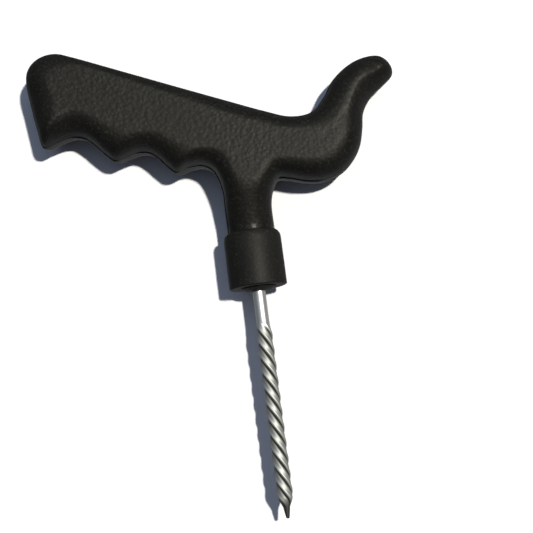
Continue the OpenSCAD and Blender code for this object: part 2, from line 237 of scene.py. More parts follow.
# %% Moulded grain: shallow pebbles of uneven size, with flecks of dust
SWAY_SCALE, SWAY_REACH = 520.0, 0.0006
PEBBLE_TOP, PEBBLE_FOOT, PEBBLE_SOFT = 0.1, 0.75, 0.6
DUST_SCALE, FLECK_FROM, FLECK_TO = 1200.0, 0.54, 0.74

grain_group, grain_in = new_group(
    "moulded_grain",
    [("Position", "NodeSocketVector", None), ("Pebbles per Metre", "NodeSocketFloat", 800.0),
     ("Unevenness", "NodeSocketFloat", 0.5)],
    [("Height", "NodeSocketFloat"), ("Fleck", "NodeSocketFloat")],
)
sway = add(grain_group, "ShaderNodeTexNoise",
           {"Vector": grain_in["Position"], "Scale": SWAY_SCALE, "Detail": 1.0})
sway_shift = add(grain_group, "ShaderNodeVectorMath",
                 {0: sway.outputs["Color"], 1: (SWAY_REACH,) * 3}, operation="MULTIPLY")
swayed = add(grain_group, "ShaderNodeVectorMath",
             {0: grain_in["Position"], 1: sway_shift.outputs[0]}, operation="ADD")
pebble = add(grain_group, "ShaderNodeTexVoronoi",
             {"Vector": swayed.outputs[0], "Scale": grain_in["Pebbles per Metre"],
              "Smoothness": PEBBLE_SOFT}, feature="SMOOTH_F1")
pebble_rise = ramp(grain_group, pebble.outputs["Distance"], PEBBLE_TOP, PEBBLE_FOOT, 1.0, 0.0)
dust = add(grain_group, "ShaderNodeTexNoise",
           {"Vector": grain_in["Position"], "Scale": DUST_SCALE, "Detail": 3.0,
            "Roughness": 0.65}).outputs["Fac"]
uneven = maths(grain_group, "MULTIPLY", dust, grain_in["Unevenness"])
add(grain_group, "NodeGroupOutput", {
    "Height": maths(grain_group, "ADD", pebble_rise, uneven),
    "Fleck": ramp(grain_group, dust, FLECK_FROM, FLECK_TO),
})
print("shader group:", grain_group.name)

# %% Slow drift of colour and gloss over a piece
DRIFT_FROM, DRIFT_TO = 0.3, 0.7

drift_group, drift_in = new_group(
    "slow_drift",
    [("Position", "NodeSocketVector", None), ("Patches per Metre", "NodeSocketFloat", 60.0),
     ("Dark", "NodeSocketColor", (0, 0, 0, 1)), ("Light", "NodeSocketColor", (1, 1, 1, 1)),
     ("Smooth", "NodeSocketFloat", 0.5), ("Rough", "NodeSocketFloat", 0.7)],
    [("Color", "NodeSocketColor"), ("Roughness", "NodeSocketFloat")],
)
patch = add(drift_group, "ShaderNodeTexNoise",
            {"Vector": drift_in["Position"], "Scale": drift_in["Patches per Metre"],
             "Detail": 4.0, "Roughness": 0.6})
patch_mask = ramp(drift_group, patch.outputs["Fac"], DRIFT_FROM, DRIFT_TO)
add(drift_group, "NodeGroupOutput", {
    "Color": blend(drift_group, patch_mask, drift_in["Dark"], drift_in["Light"]),
    "Roughness": ramp(drift_group, patch_mask, 0.0, 1.0, drift_in["Smooth"], drift_in["Rough"]),
})
print("shader group:", drift_group.name)

# %% [markdown]
# ## Black plastics
# The grip is a nearly black plastic with a fine moulded grain. Most of what the
# eye sees on it is the wide sheen of the sun, so the colour is very dark and the
# gloss is set by the roughness. Use has left its marks: pale dust in the grain,
# a smoother foot of the neck at the collar, and a horn crest polished by the
# thumb, which the grip's mesh marks with a value of its own. The parting line is
# painted a lighter grey: painted light that stands in for the reflection of the
# bench along the seam and lifts the shade on its ledge. The collar has the same
# mixture, a little rougher and with finer pebbles.

# %% Black moulded plastics
PLASTIC_PATCHES = 45.0
RUBBED_AT, RUBBED_WIDE = 0.0202, 0.0024
SEAM_FROM, SEAM_TO = 0.0008, 0.0005
THUMB_POLISH, THUMB_WEAR = 0.085, 0.7
# Painted light: a lighter grey for the seam line. It stands in for the bench's reflection and
# lifts the shade on the bead's ledge.
SEAM_PAINTED_LIGHT = (0.036, 0.036, 0.033, 1)
DUST = (0.028, 0.0275, 0.022, 1)
SHEEN = (1, 1, 0.92, 1)


def moulded_plastic(name, dark, light, smooth, rough, gloss, pebbles, relief, rubbing):
    """A grained plastic; rubbing says how much smoother it is at the neck's foot."""
    material, tree, shader, place = new_material(name)
    drift = place_group(tree, drift_group, {
        "Position": place, "Patches per Metre": PLASTIC_PATCHES, "Dark": dark, "Light": light,
        "Smooth": smooth, "Rough": rough})
    grain = place_group(tree, grain_group, {"Position": place, "Pebbles per Metre": pebbles})
    spot = add(tree, "ShaderNodeSeparateXYZ", {0: place}).outputs
    thumb = add(tree, "ShaderNodeAttribute", attribute_name="rub").outputs["Fac"]

    dusty = blend(tree, grain["Fleck"], drift["Color"], DUST)
    # Painted light along the seam: the lighter colour stands in for a reflection and lifts the
    # shade on the ledge.
    seam = ramp(tree, maths(tree, "ABSOLUTE", spot["Z"]), SEAM_FROM, SEAM_TO)
    tree.links.new(blend(tree, seam, dusty, SEAM_PAINTED_LIGHT), shader.inputs["Base Color"])

    from_foot = maths(tree, "ABSOLUTE", maths(tree, "SUBTRACT", spot["Y"], RUBBED_AT))
    rubbed = ramp(tree, from_foot, RUBBED_WIDE, 0.0)
    smoothed = maths(tree, "MULTIPLY_ADD", rubbed, -rubbing, drift["Roughness"])
    handled = maths(tree, "MULTIPLY_ADD", thumb, -THUMB_POLISH, smoothed)
    tree.links.new(handled, shader.inputs["Roughness"])

    kept = maths(tree, "MULTIPLY_ADD", maths(tree, "MAXIMUM", thumb, 0.0), -THUMB_WEAR, 1.0)
    worn_grain = maths(tree, "MULTIPLY", grain["Height"], kept)
    bump = add(tree, "ShaderNodeBump", {"Height": worn_grain, "Distance": relief, "Strength": 1.0})
    tree.links.new(bump.outputs[0], shader.inputs["Normal"])
    shader.inputs["Specular IOR Level"].default_value = gloss
    shader.inputs["Specular Tint"].default_value = SHEEN
    return material


grip_black = moulded_plastic(
    "grip_black", dark=(0.005, 0.005, 0.0048, 1), light=(0.008, 0.0078, 0.0071, 1),
    smooth=0.46, rough=0.54, gloss=0.172, pebbles=700.0, relief=0.00007, rubbing=0.17)
collar_black = moulded_plastic(
    "collar_black", dark=(0.008, 0.008, 0.0078, 1), light=(0.011, 0.0108, 0.0104, 1),
    smooth=0.52, rough=0.6, gloss=0.17, pebbles=1000.0, relief=0.000028, rubbing=0.0)
print("plastics:", grip_black.name, collar_black.name)

# %% [markdown]
# ## Steel and bench top
# Cold-formed steel is bright on the ridges, which rub, and dull in the grooves.
# The grooves and the nib are also painted dark: painted shade, where the steep
# flanks and the point turn away from the light. The plain shank is brighter and
# smoother than the rasp. The probe's mesh carries two values for this: one falls
# from a ridge to a groove and to the nib, and the other rises from the shank to
# the rasp, so the finish and the painted shade follow the spiral exactly. The
# fixings carry neither and are plain.
# The bench is an almost white board, made with the slow drift alone.

# %% Steel of the probe and the fixings
SCRATCH_SCALE = (2600.0, 160.0, 2600.0)
SCRATCH_GRIT, SCRATCH_DEPTH, SCRATCH_STRENGTH = 0.12, 0.000012, 0.6
SHINE_FROM, SHINE_TO = 0.2, 0.75
FIXING_GREY, FIXING_ROUGH = (0.3, 0.3, 0.29, 1), 0.45


def bright_steel(name, colors, roughness, metal):
    """Steel by its colours and roughness in the grooves, on the ridges and on the shank."""
    material, tree, shader, place = new_material(name)
    ridge = add(tree, "ShaderNodeAttribute", attribute_name="ridge").outputs["Fac"]
    on_rasp = add(tree, "ShaderNodeAttribute", attribute_name="rasp").outputs["Fac"]
    shine = ramp(tree, ridge, SHINE_FROM, SHINE_TO)
    lines = add(tree, "ShaderNodeMapping", {"Vector": place, "Scale": SCRATCH_SCALE}).outputs[0]
    scratch = add(tree, "ShaderNodeTexNoise",
                  {"Vector": lines, "Scale": 1.0, "Detail": 3.0}).outputs["Fac"]

    # The groove colour is painted shade: the grooves and the nib are made dark where light falls
    # less.
    groove_shade_color, ridge_color, shank_color = colors
    bright_color = blend(tree, on_rasp, shank_color, ridge_color)
    tree.links.new(blend(tree, shine, groove_shade_color, bright_color), shader.inputs["Base Color"])

    groove_rough, ridge_rough, shank_rough = roughness
    bright_rough = ramp(tree, on_rasp, 0.0, 1.0, shank_rough, ridge_rough)
    plain_rough = ramp(tree, shine, 0.0, 1.0, groove_rough, bright_rough)
    gritty = maths(tree, "MULTIPLY_ADD", scratch, SCRATCH_GRIT, plain_rough)
    tree.links.new(gritty, shader.inputs["Roughness"])
    bump = add(tree, "ShaderNodeBump",
               {"Height": scratch, "Distance": SCRATCH_DEPTH, "Strength": SCRATCH_STRENGTH})
    tree.links.new(bump.outputs[0], shader.inputs["Normal"])
    shader.inputs["Metallic"].default_value = metal
    return material


# The first colour is painted shade for the grooves and the nib.
probe_steel = bright_steel(
    "probe_steel", roughness=[0.6, 0.54, 0.34], metal=0.88,
    colors=[(0.03, 0.032, 0.027, 1), (0.52, 0.535, 0.505, 1), (0.74, 0.75, 0.73, 1)])
fixing_steel = bright_steel(
    "fixing_steel", roughness=[FIXING_ROUGH] * 3, metal=1.0, colors=[FIXING_GREY] * 3)
print("steels:", probe_steel.name, fixing_steel.name)

# %% Pale bench top
bench_pale, bench_tree, bench_shader, bench_place = new_material("bench_pale")
bench_drift = place_group(bench_tree, drift_group, {
    "Position": bench_place, "Patches per Metre": 25.0, "Dark": (0.9, 0.91, 0.95, 1),
    "Light": (0.92, 0.93, 0.97, 1), "Smooth": 0.75, "Rough": 0.85})
bench_tree.links.new(bench_drift["Color"], bench_shader.inputs["Base Color"])
bench_tree.links.new(bench_drift["Roughness"], bench_shader.inputs["Roughness"])
bench_mesh.materials.append(bench_pale)
print("bench top:", bench_pale.name)

# %% [markdown]
# ## The outline of the grip
# Seen from the side, the grip is one closed line: up the neck, along the finger
# grooves, round the butt, down the top edge, over the thumb horn and back under
# the lobe. Few points are enough, because a smooth curve runs through them, and
# each group of points is tied to a size that a hand or a mould gives.

# %% Sizes of the grip, in millimetres
COLLAR_LEN = 19.6
NECK_R = 7.9
NECK_LEN = 17.2
GRIP_SIDE = 0.45
FINGER_SLOPE = math.radians(18)
FINGER_FIRST = 24
FINGER_PITCH = 22
GROOVE_DEPTH = 6
GROOVE_LEAN, GROOVE_HOLLOW, GROOVE_N = 1.1, 1.4, 6
BAR_DEPTH = 28.8
TOP_SLOPE = math.radians(23)
HORN_RISE = 19
HORN_REACH = 37.5
BUTT_OVERHANG = 4

neck_y = COLLAR_LEN
line_root = np.array((-GRIP_SIDE, neck_y + NECK_LEN))
line_dir = np.array((-math.cos(FINGER_SLOPE), math.sin(FINGER_SLOPE)))
line_in = np.array((math.sin(FINGER_SLOPE), math.cos(FINGER_SLOPE)))


def mix(a, b, f):
    """What lies a share f of the way from a to b."""
    return a + (b - a) * f


def on_line(s, w):
    """A point at distance s along the line of finger ridges, w inside it."""
    return line_root + line_dir * s + line_in * w


def on_top(x):
    """A point of the bar's top edge, x from the root of the finger line."""
    return line_root + (x, BAR_DEPTH - x * math.tan(TOP_SLOPE))


def groove(start, stop, depth):
    """A round hollow that leans towards the butt."""
    parts = [i / GROOVE_N for i in range(1, GROOVE_N)]
    return [on_line(mix(start, stop, f),
                    depth * math.sin(math.pi * f**GROOVE_LEAN) ** GROOVE_HOLLOW) for f in parts]


print("grip line starts at", line_root.round(2), "mm")

# %% Points of the outline at the seam
BUTT_SHAPE = ((-0.045, 0.19), (-0.08, 0.44), (-0.105, 0.66), (-0.067, 0.79), (0.039, 0.88),
              (0.195, 0.905))
HORN_SHAPE = ((0.19, 0.05), (0.34, 0.33), (0.44, 0.62), (0.58, 0.85), (0.73, 0.98), (0.89, 0.99),
              (0.99, 0.83), (1, 0.62), (0.9, 0.44), (0.77, 0.24), (0.68, -0.03))
LOBE_SHAPE = ((0.65, -0.22), (0.607, -0.427), (0.525, -0.6), (0.4, -0.743), (0.24, -0.805),
              (0.08, -0.79), (-0.08, -0.73))
WEB_SHAPE = ((0.45, 0.4), (0.645, 0.67), (0.835, 0.43))
NOTCH_SHAPE = ((1.52, 1.04), (1.18, 0.82))
VALLEY_AT, VALLEY_UP = 0.52, 0.04
TOP_FROM, TOP_TO, TOP_STEPS = 0.17, 0.3, 5
FIRST_GROOVE = 0.85
NECK_FLARE, WEB_DROP = 0.1, 1

ridge_2 = FINGER_FIRST + FINGER_PITCH
ridge_3 = ridge_2 + FINGER_PITCH + BUTT_OVERHANG
butt_foot = on_line(ridge_3, 0)
butt_rise = on_top(butt_foot[0] + GRIP_SIDE)[1] - butt_foot[1]
butt_edge = [butt_foot + np.array(p) * butt_rise for p in BUTT_SHAPE]
valley = on_top(VALLEY_AT * HORN_REACH) + (0, VALLEY_UP * HORN_RISE)
horn_edge = [valley + (x * HORN_REACH, y * HORN_RISE) for x, y in HORN_SHAPE]
lobe_edge = [valley + (x * HORN_REACH, y * BAR_DEPTH) for x, y in LOBE_SHAPE]
notch = [(x * NECK_R, neck_y + y * NECK_LEN) for x, y in NOTCH_SHAPE]
web = [on_line(x * FINGER_FIRST, y * GROOVE_DEPTH) for x, y in WEB_SHAPE]
top_first = butt_edge[-1][0] + GRIP_SIDE + TOP_FROM * butt_rise
top_last = TOP_TO * HORN_REACH
top_edge = [on_top(mix(top_first, top_last, i / TOP_STEPS)) for i in range(TOP_STEPS + 1)]

neck_mid = neck_y + NECK_LEN / 2
outline = np.array([
    (-NECK_R, neck_y), (-NECK_R, neck_mid), (-NECK_R - NECK_FLARE, line_root[1] - WEB_DROP), *web,
    on_line(FINGER_FIRST, 0), *groove(FINGER_FIRST, ridge_2, GROOVE_DEPTH * FIRST_GROOVE),
    on_line(ridge_2, 0), *groove(ridge_2, ridge_3, GROOVE_DEPTH), butt_foot,
    *butt_edge, *top_edge, valley, *horn_edge, *lobe_edge, *notch,
    (NECK_R, neck_mid), (NECK_R, neck_y),
])
print("outline points:", len(outline))

# %% [markdown]
# ## The body of the grip
# The grip has three limbs: the finger bar, the horn and the neck. A spine runs
# along the middle of each and holds the height and roundness of the section. A
# rib then climbs from every point of the outline to its point on a spine, as
# the ribs of a boat do. This keeps the faces flat where the real ones are flat
# and gives the horn its crest. A bevelled slab would be quicker to make, but it
# would round every edge alike.

# %% Spines: x, y, height, squareness, rounding
EDGE_R = 7.6
BUTT_ROUND, TOP_ROUND, LOBE_ROUND, FINGER_ROUND = 1.43, 1.3, 1.2, 1.06
CROWN_RISE = 0.3
HUB_ACROSS, HUB_UP, HUB_SQUARE = 0.065, 0.52, 3
BUTT_ACROSS, BUTT_UP, BUTT_SQUARE = 0.36, 0.45, 2.4
BAR_SHARES = (0.4, 0.7)
NECK_LEAN = 0.3
NECK_RAMP = ((1.3, 1.05, 3), (1.01, 1.01, 2.8), (0.81, 0.9, 2.5), (0.6, 0.64, 2.25),
             (0.41, 0.38, 2.1), (0.23, 0.155, 2), (0.09, 0.01, 2), (0, 0, 2))

half_t = GRIP_T / 2
crown = half_t + CROWN_RISE
hub = np.array((line_root[0] + HUB_ACROSS * HORN_REACH, line_root[1] + HUB_UP * BAR_DEPTH,
                crown, HUB_SQUARE, EDGE_R))
butt_mid = np.array((butt_foot[0] + BUTT_ACROSS * butt_rise, butt_foot[1] + BUTT_UP * butt_rise,
                     crown, BUTT_SQUARE, BUTT_ROUND * EDGE_R))
bar_spine = [butt_mid, *(mix(butt_mid, hub, f) for f in BAR_SHARES), hub]


def on_horn(reach, rise, height, square, soft=1.0):
    """A point of the horn's spine, by shares of the horn's reach and rise."""
    return (valley[0] + reach * HORN_REACH, valley[1] + rise * HORN_RISE, height, square,
            soft * EDGE_R)


horn_spine = [
    hub, on_horn(0.03, -0.54, crown, 3, LOBE_ROUND),
    on_horn(0.33, -0.42, half_t + 0.1, 2.6, LOBE_ROUND),
    on_horn(0.456, -0.154, half_t - 0.2, 2.2), on_horn(0.555, 0.186, half_t - 0.6, 2.1),
    on_horn(0.638, 0.438, half_t - 1.1, 2), on_horn(0.732, 0.566, half_t - 1.7, 2),
    on_horn(0.85, 0.66, half_t - 3, 2),
]
neck_spine = [hub] + [
    (NECK_LEAN * hub[0] * up, neck_y + along * NECK_LEN, mix(NECK_R, half_t, up), square,
     mix(NECK_R, EDGE_R, up)) for along, up, square in NECK_RAMP]
print("spines:", len(bar_spine), len(horn_spine), len(neck_spine), "points")


# %% Smooth curves and limbs
def smooth(points, t):
    """A smooth curve through the points, read at the running numbers t."""
    p = np.asarray(points, float)
    t = np.asarray(t, float)
    i = np.minimum(t.astype(int), len(p) - 2)
    f = (t - i)[:, None]
    a, b, c, d = p[np.maximum(i - 1, 0)], p[i], p[i + 1], p[np.minimum(i + 2, len(p) - 1)]
    return 0.5 * (2 * b + (c - a) * f + (2 * a - 5 * b + 4 * c - d) * f**2
                  + (3 * b - a - 3 * c + d) * f**3)


def paced(numbers, count):
    """Running numbers for a limb's feet, read smoothly from a few given ones."""
    steps = (len(numbers) - 1) * np.arange(count) / count
    return smooth(np.array(numbers)[:, None], steps)[:, 0]


def from_tip(count, outward, blunt=0.0):
    """Shares of a limb's spine, zero at its tip, which may be blunt."""
    f = np.arange(count) / count
    along = 1 - f if outward else f
    return np.maximum(0, (along - blunt) / (1 - blunt))


def limb(feet, spine, outward, blunt=0.0):
    """Feet and heads of one side of a limb; the tip of a limb may be blunt."""
    along = from_tip(len(feet), outward, blunt)
    return np.hstack((smooth(outline, feet), smooth(spine, along * (len(spine) - 1))))


def ease(f):
    """From zero to one with a soft start and end."""
    f = np.clip(f, 0, 1)
    return f * f * (3 - 2 * f)


# %% Ribs from the outline to the spines
T_LEFT, T_BUTT, T_TOP, T_TIP = 2.8, 20.2, 29.9, 38.3
T_RIDGE = 6
T_FOOT = T_RIDGE + 2 * GROOVE_N
T_LAST = len(outline) - 1
T_RIGHT = T_LAST - 2.6
BAR_N, HORN_N, NECK_N = 180, 160, 80
BUTT_BLUNT, HORN_BLUNT = 0.25, 1 / 8
HORN_FEET_UP = (T_TOP, 31.2, 32.1, 32.6, 33.3, 34.3, 35.45, 36.6, T_TIP)
HORN_FEET_DOWN = (T_TIP, 39.6, 40.7, 41.1, 41.9, 43.1, 45.5, 48, T_RIGHT)
NECK_FEET_LEFT = (0, 0.25, 0.52, 0.82, 1.23, 1.7, 2.12, 2.5, T_LEFT)
NECK_FEET_RIGHT = [T_LAST - b for b in (2.6, 2.45, 2.25, 1.9, 1.35, 0.82, 0.52, 0.25, 0)]
SPIGOT_R, SPIGOT_NOSE_R, SPIGOT_OUT, SPIGOT_LIP = 6.2, 3.8, 1.4, 0.3

spigot = [(-SPIGOT_OUT, SPIGOT_NOSE_R), (-SPIGOT_LIP, SPIGOT_R), (neck_y, SPIGOT_R)]
spigot_left = np.array([(-r, y, 0, y, r, 2, r) for y, r in spigot])
spigot_right = np.array([(r, y, 0, y, r, 2, r) for y, r in reversed(spigot)])
along_bar, along_horn = np.arange(BAR_N) / BAR_N, np.arange(HORN_N) / HORN_N
finger_feet = mix(T_LEFT, T_BUTT, along_bar)
ridge_wave = np.cos(math.pi * (finger_feet - T_RIDGE) / GROOVE_N) ** 4
on_ridge = np.where(finger_feet < T_FOOT, ridge_wave, 1)
finger_side = limb(finger_feet, bar_spine, True, BUTT_BLUNT)
finger_side[:, 6] = EDGE_R * (1 + (FINGER_ROUND - 1) * ease((finger_feet - T_LEFT) / 2)
                              + (BUTT_ROUND - FINGER_ROUND) * on_ridge)
top_side = limb(mix(T_BUTT, T_TOP, along_bar), bar_spine, False, BUTT_BLUNT)
top_side[:, 6] = EDGE_R * mix(BUTT_ROUND, TOP_ROUND, along_bar)
horn_top = limb(paced(HORN_FEET_UP, HORN_N), horn_spine[::-1], True, HORN_BLUNT)
horn_top[:, 6] *= mix(TOP_ROUND, 1, ease(3 * along_horn))
ribs = np.vstack((
    spigot_left,
    limb(paced(NECK_FEET_LEFT, NECK_N), neck_spine[::-1], False),
    finger_side,
    top_side,
    horn_top,
    limb(paced(HORN_FEET_DOWN, HORN_N), horn_spine[::-1], False, HORN_BLUNT),
    limb(paced(NECK_FEET_RIGHT, NECK_N), neck_spine[::-1], True),
    np.hstack((outline[-1:], np.array(neck_spine[-1:]))),
    spigot_right,
))
print("ribs:", len(ribs))

# %% Skin of one half, over the ribs
BEAD_H, BEAD_W, BEAD_SQUARE = 0.4, 1.2, 4
BEAD_N, RISE_N = 8, 26
BEAD_STEP = 0.05
# Decimals that turn the cosine of a right angle into a true zero
DIGITS = 12

beaded = np.ones(len(ribs))
beaded[:len(spigot)] = beaded[-len(spigot):] = 0
foot, head = ribs[:, None, 0:2], ribs[:, None, 2:4]
height, square, rounding = (ribs[:, None, k] for k in (4, 5, 6))
span = np.linalg.norm(head - foot, axis=2)
out = (foot - head) / span[..., None]

turn = np.radians(np.linspace(0, 90, BEAD_N))[None, :]
bead_z = BEAD_W / 2 * np.sin(turn) ** (2 / BEAD_SQUARE)
bead_out = BEAD_H * np.cos(turn).round(DIGITS) ** (2 / BEAD_SQUARE) * beaded[:, None]
bead_xy = foot + out * bead_out[..., None]
angle = np.radians(np.linspace(0, 90, RISE_N + 1)[1:])[None, :]
power = np.maximum(square, square * span / rounding)
reach = 1 - np.cos(angle).round(DIGITS) ** (2 / power)
rise_z = np.clip(height * np.sin(angle) ** (2 / square), BEAD_W / 2 + BEAD_STEP, half_t)
rise_xy = foot + (head - foot) * reach[..., None]
skin = np.concatenate((
    np.dstack((bead_xy, np.broadcast_to(bead_z[..., None], bead_xy.shape[:2] + (1,)))),
    np.dstack((rise_xy, rise_z[..., None])),
), axis=1)
print("skin grid:", skin.shape[:2])

# %% Thumb polish: a bright crest along the horn, between duller flanks
THUMB_FROM, THUMB_OVER, CREST_WIDE, FLANK_RUB = 0.16, 0.3, 1.2, 0.8

horn_first = len(spigot) + NECK_N + 2 * BAR_N
horn_share = np.zeros(len(ribs))
horn_share[horn_first:horn_first + 2 * HORN_N] = 1 - np.concatenate(
    (from_tip(HORN_N, True, HORN_BLUNT), from_tip(HORN_N, False, HORN_BLUNT)))
from_crest = np.hstack((np.broadcast_to(span, (len(ribs), BEAD_N)), span * (1 - reach)))
crest_share = np.exp(-(from_crest / CREST_WIDE) ** 2)
under_thumb = ease((horn_share - THUMB_FROM) / THUMB_OVER)[:, None]
rub = under_thumb * ((1 + FLANK_RUB) * crest_share - FLANK_RUB)
print("thumb rub from", round(rub.min(), 2), "to", round(rub.max(), 2))

# %% [markdown]
# The skin's grid becomes a closed half: the seam face closes it below and the
# end of the neck closes it inside the collar. The two halves are mirror images,
# so one function makes both. A mirror turns the faces inside out, and the step
# that finishes every mesh turns them outwards again.

# %% Helpers that make finished objects
WELD = 1e-7
CREASE = math.radians(32)


def finish_mesh(mesh, material):
    """Weld, face outwards, and keep only true edges sharp."""
    work = bmesh.new()
    work.from_mesh(mesh)
    bmesh.ops.remove_doubles(work, verts=work.verts, dist=WELD)
    bmesh.ops.dissolve_degenerate(work, edges=work.edges, dist=WELD)
    bmesh.ops.recalc_face_normals(work, faces=work.faces)
    for face in work.faces:
        face.smooth = True
    for edge in work.edges:
        edge.smooth = len(edge.link_faces) == 2 and edge.calc_face_angle(math.pi) < CREASE
    work.to_mesh(mesh)
    work.free()
    mesh.materials.clear()
    mesh.materials.append(material)


def new_piece(name, vertices, faces, material, rubbed=None):
    """A finished object; rubbed gives each vertex its thumb polish."""
    mesh = bpy.data.meshes.new(name)
    mesh.from_pydata([tuple(v) for v in vertices], [], faces)
    if rubbed is not None:
        mesh.attributes.new("rub", "FLOAT", "POINT").data.foreach_set("value", rubbed.ravel())
    finish_mesh(mesh, material)
    piece = bpy.data.objects.new(name, mesh)
    scene.collection.objects.link(piece)
    return piece


def grid_faces(rows, columns, close=False):
    """Quads of a grid of points; its last row may be joined to the first."""
    quads = []
    for i in range(rows if close else rows - 1):
        a, b = i * columns, (i + 1) % rows * columns
        quads += [(a + k, a + k + 1, b + k + 1, b + k) for k in range(columns - 1)]
    return quads


# %% Two mirrored halves
def grip_half(name, side):
    """One closed half of the grip, in front of the seam or behind it."""
    rows, columns = skin.shape[:2]
    points = skin.reshape(-1, 3) * (1, 1, side) * MM
    last = (rows - 1) * columns
    seam_face = tuple(i * columns for i in range(rows))
    neck_end = tuple(range(columns)) + tuple(last + k for k in range(columns - 2, -1, -1))
    faces = grid_faces(rows, columns) + [seam_face, neck_end]
    return new_piece(name, points, faces, grip_black, rub)


front = grip_half("grip_front", 1)
back = grip_half("grip_back", -1)
print("front half:", len(front.data.polygons), "faces")

# %% [markdown]
# The halves are bedded to each other: half of a round bore holds the rod's
# tang, with a cross bore for its pin, and the back half is also drilled and
# counterbored for the three screws. A Boolean modifier cuts these from the
# solid halves, and the result is then stored as a plain mesh.

# %% Cylinders that cut
ROUND = 64


def rod(work, start, stop, radius):
    """A closed cylinder between two points, in millimetres, added to a bmesh."""
    start, stop = Vector(start) * MM, Vector(stop) * MM
    turn = (stop - start).to_track_quat("Z", "Y").to_matrix().to_4x4()
    turn.translation = (start + stop) / 2
    bmesh.ops.create_cone(work, cap_ends=True, segments=ROUND, radius1=radius * MM,
                          radius2=radius * MM, depth=(stop - start).length, matrix=turn)


def cut_away(piece, rods):
    """Cut cylinders out of a piece, one after the other."""
    for start, stop, radius in rods:
        cutter_mesh = bpy.data.meshes.new("cutter")
        work = bmesh.new()
        rod(work, start, stop, radius)
        work.to_mesh(cutter_mesh)
        work.free()
        cutter = bpy.data.objects.new("cutter", cutter_mesh)
        scene.collection.objects.link(cutter)
        cut = piece.modifiers.new("cut", "BOOLEAN")
        cut.operation, cut.solver, cut.object = "DIFFERENCE", "EXACT", cutter
        evaluated = piece.evaluated_get(bpy.context.evaluated_depsgraph_get())
        result = bpy.data.meshes.new_from_object(evaluated)
        piece.modifiers.remove(cut)
        old, piece.data = piece.data, result
        bpy.data.meshes.remove(old)
        bpy.data.objects.remove(cutter)
        bpy.data.meshes.remove(cutter_mesh)
    piece.data.name = piece.name
    finish_mesh(piece.data, piece.data.materials[0])


# %% Beds and screw seats, cut from the halves
SHANK_R, FIT = 2.25, 0.05
PIN_R, PIN_LEN, PIN_PLAY = 1.5, 16, 0.2
TANG_PAST_PIN = 5 * PIN_R
SEAT_DEPTH, SEAT_R, HOLE_R = 6, 3.0, 1.7
CUT_PAST = 1
MID_SCREW = 0.54

pin_y = neck_y + NECK_LEN + BAR_DEPTH / 2
tang_end = pin_y + TANG_PAST_PIN
pin_reach = PIN_LEN / 2 + PIN_PLAY
screw_places = [butt_mid[:2], mix(butt_mid, hub, MID_SCREW)[:2], np.array(horn_spine[1][:2])]
beds = [
    ((0, -SPIGOT_OUT - CUT_PAST, 0), (0, tang_end + FIT, 0), SHANK_R + FIT),
    ((-pin_reach, pin_y, 0), (pin_reach, pin_y, 0), PIN_R + FIT),
]
seats = [((x, y, -half_t - CUT_PAST), (x, y, -SEAT_DEPTH), SEAT_R) for x, y in screw_places]
holes = [((x, y, -SEAT_DEPTH - CUT_PAST), (x, y, CUT_PAST), HOLE_R) for x, y in screw_places]
cut_away(front, beds)
cut_away(back, beds + seats + holes)
print("back half:", len(back.data.polygons), "faces after", len(beds + seats + holes), "cuts")

# %% [markdown]
# ## The collar
# A turned ring holds the split neck together. Its half-section is a short list
# of radius and height, with the mouth's rim and the shoulder rounded, and it is
# swept round the shaft's axis. The Screw modifier could do that too, but a loop
# can also lift the thin mould line that stands out on two sides, in line with
# the seam of the grip.

# %% Collar, swept round the shaft
COLLAR_R, BAND_LEN, COLLAR_TAPER, SHOULDER_H = 9.95, 9, 0.05, 3
BAND_BELOW, BAND_ABOVE, BAND_IN = 0.5, 0.3, 0.02
SHOULDER_STEP = 0.4
SHOULDER_N, RIM_N, AROUND = 14, 6, 128
RIM = 0.5
MOULD_LINE = 0.18


def corner(centre, radius, start, stop):
    """Points of a rounded corner of the half-section."""
    angles = np.radians(np.linspace(start, stop, RIM_N))
    return [(centre[0] + radius * math.cos(a), centre[1] + radius * math.sin(a)) for a in angles]


def turned(name, section, material, line):
    """Sweep a closed half-section round the Y axis, with a mould line on both sides."""
    ring = []
    for a in np.linspace(0, 2 * math.pi, AROUND, endpoint=False):
        from_seam = abs(math.sin(a)) * COLLAR_R
        lift = line * max(0.0, 1 - (from_seam / (BEAD_W / 2)) ** 2)
        for r, y in section + section[:1]:
            swollen = r + lift * (r > NECK_R)
            ring.append((swollen * math.cos(a) * MM, y * MM, swollen * math.sin(a) * MM))
    return new_piece(name, ring, grid_faces(AROUND, len(section) + 1, close=True), material)


top_r = COLLAR_R - COLLAR_TAPER
bore_r = SPIGOT_R + FIT
lip_r = NECK_R + SHOULDER_STEP
shoulder = [(mix(lip_r, top_r, math.cos(a)), COLLAR_LEN - SHOULDER_H * (1 - math.sin(a)))
            for a in np.radians(np.linspace(0, 90, SHOULDER_N))]
section = [
    (bore_r, 0), *corner((COLLAR_R - RIM, RIM), RIM, -90, 0), (COLLAR_R, BAND_LEN - BAND_BELOW),
    (COLLAR_R - BAND_IN, BAND_LEN + BAND_ABOVE), *shoulder, (bore_r, COLLAR_LEN),
]
collar = turned("neck_collar", section, collar_black, MOULD_LINE)
print("collar:", len(collar.data.polygons), "faces")

# %% [markdown]
# ## The probe
# The rod is plain at the grip and then becomes a left-hand rasp of four ridges
# that ends in a plain narrow nib. The ridges lean: each climbs gently on the
# side of the grip and drops steeply on the side of the point. The radius is a
# formula of the angle and of the distance down the rod, so Geometry Nodes build
# it from a flat grid: one side of the grid is wrapped round the axis and the
# other is laid along it. Two values for the finish, which also carry the painted
# shade of the grooves and the nib, are stored with the mesh.

